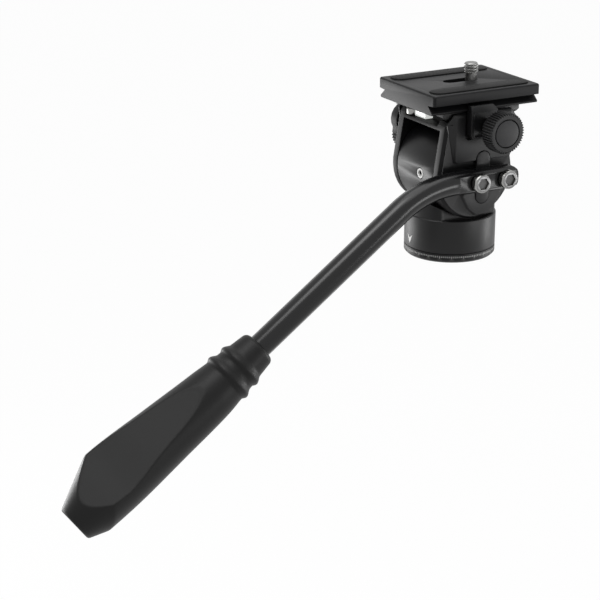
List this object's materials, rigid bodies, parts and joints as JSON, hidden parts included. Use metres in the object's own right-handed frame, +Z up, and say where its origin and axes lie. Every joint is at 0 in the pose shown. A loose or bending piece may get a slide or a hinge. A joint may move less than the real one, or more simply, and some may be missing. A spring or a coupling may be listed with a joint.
{
  "type": "fluid video head",
  "caption": "Fluid head for a video tripod: fluid tilt drum in a bracket on a turning base, sliding quick plate in a side clamp, and a bent pan bar with a flared rubber grip.",
  "frame": {"origin": "centre of the base's bottom face, where the tripod screw enters", "axes": "+Z up along the pan axis, +Y to the front of the camera, +X to the operator's right along the tilt axis, on the side of the clamp knob and the pan bar"},
  "size_m": [0.0687, 0.2263, 0.1691],
  "materials": {
    "black_anodised": "satin black anodised",
    "satin_black": "satin black coated tube",
    "matte_black": "moulded, fine matt",
    "black_rubber": "matt rubber",
    "polished_steel": "polished",
    "brass": "turned",
    "pale_acrylic": "clear moulded, reads pale",
    "white_mark": "white",
    "natural_nylon": "natural nylon"
  },
  "bodies": {
    "base": {"scale_ring": "black_anodised", "tripod_bush": "brass", "pan_friction_washer": "natural_nylon", "pan_spring_washer": "polished_steel", "pan_bolt": "polished_steel"},
    "pan_body": {"pan_housing": "black_anodised", "tilt_drum": "matte_black", "drum_end_cover": "matte_black", "drum_bearing_left": "brass", "drum_bearing_right": "brass", "drum_mark_ring": "white_mark", "drum_screw_left": "polished_steel", "drum_screw_right": "polished_steel"},
    "tilt_body": {"tilt_bracket": "black_anodised", "right_side_plate": "black_anodised", "left_side_plate": "black_anodised", "handle_key": "black_anodised", "tilt_rotor": "black_anodised", "handle_tube": "satin_black", "handle_grip": "black_rubber", "handle_screw_rear": "polished_steel", "handle_screw_front": "polished_steel", "left_plate_screw_rear": "polished_steel", "left_plate_screw_front": "polished_steel", "clamp_receiver": "black_anodised", "receiver_screw_rear_left": "polished_steel", "receiver_screw_rear_right": "polished_steel", "receiver_screw_front_left": "polished_steel", "receiver_screw_front_right": "polished_steel", "level_vial": "pale_acrylic", "brake_shoe": "brass"},
    "jaw_body": {"clamp_jaw": "black_anodised", "jaw_guide_pin": "polished_steel"},
    "knob_body": {"clamp_knob": "matte_black", "clamp_knob_cap": "matte_black", "clamp_screw": "polished_steel"},
    "plate_body": {"quick_plate": "black_anodised", "plate_pad_left": "black_rubber", "plate_pad_right": "black_rubber", "plate_stop_screw_rear": "polished_steel", "plate_stop_screw_front": "polished_steel"},
    "screw_washer_body": {"camera_screw_washer": "natural_nylon"},
    "camera_screw_body": {"camera_screw": "polished_steel"},
    "lock_body": {"lock_knob": "satin_black", "lock_stud": "polished_steel"}
  },
  "joints": [
    {"name": "pan", "type": "hinge", "parent": "base", "child": "pan_body", "pos_m": [0, 0, 0.0042], "axis": [0, 0, 1], "continuous": true},
    {"name": "tilt", "type": "hinge", "parent": "pan_body", "child": "tilt_body", "pos_m": [0, 0, 0.0384], "axis": [1, 0, 0], "range_deg": [-90, 60]},
    {"name": "jaw_slide", "type": "slide", "parent": "tilt_body", "child": "jaw_body", "axis": [1, 0, 0], "range_m": [0, 0.002]},
    {"name": "clamp_knob_turn", "type": "hinge", "parent": "jaw_body", "child": "knob_body", "pos_m": [0.037, 0.003, 0.0604], "axis": [1, 0, 0], "range_deg": [0, 900]},
    {"name": "plate_slide", "type": "slide", "parent": "tilt_body", "child": "plate_body", "axis": [0, 1, 0], "range_m": [-0.003, 0.003]},
    {"name": "camera_screw_slide", "type": "slide", "parent": "plate_body", "child": "screw_washer_body", "axis": [0, 1, 0], "range_m": [-0.0108, 0]},
    {"name": "camera_screw_turn", "type": "hinge", "parent": "screw_washer_body", "child": "camera_screw_body", "pos_m": [0, 0.0088, 0.076], "axis": [0, 0, 1], "continuous": true},
    {"name": "lock_turn", "type": "hinge", "parent": "tilt_body", "child": "lock_body", "pos_m": [-0.0213, -0.008, 0.053], "axis": [-1, 0, 0], "range_deg": [0, 120]}
  ],
  "couplings": [
    {"joint": "clamp_knob_turn", "follows": "jaw_slide", "rad_per_m": 7854}
  ]
}
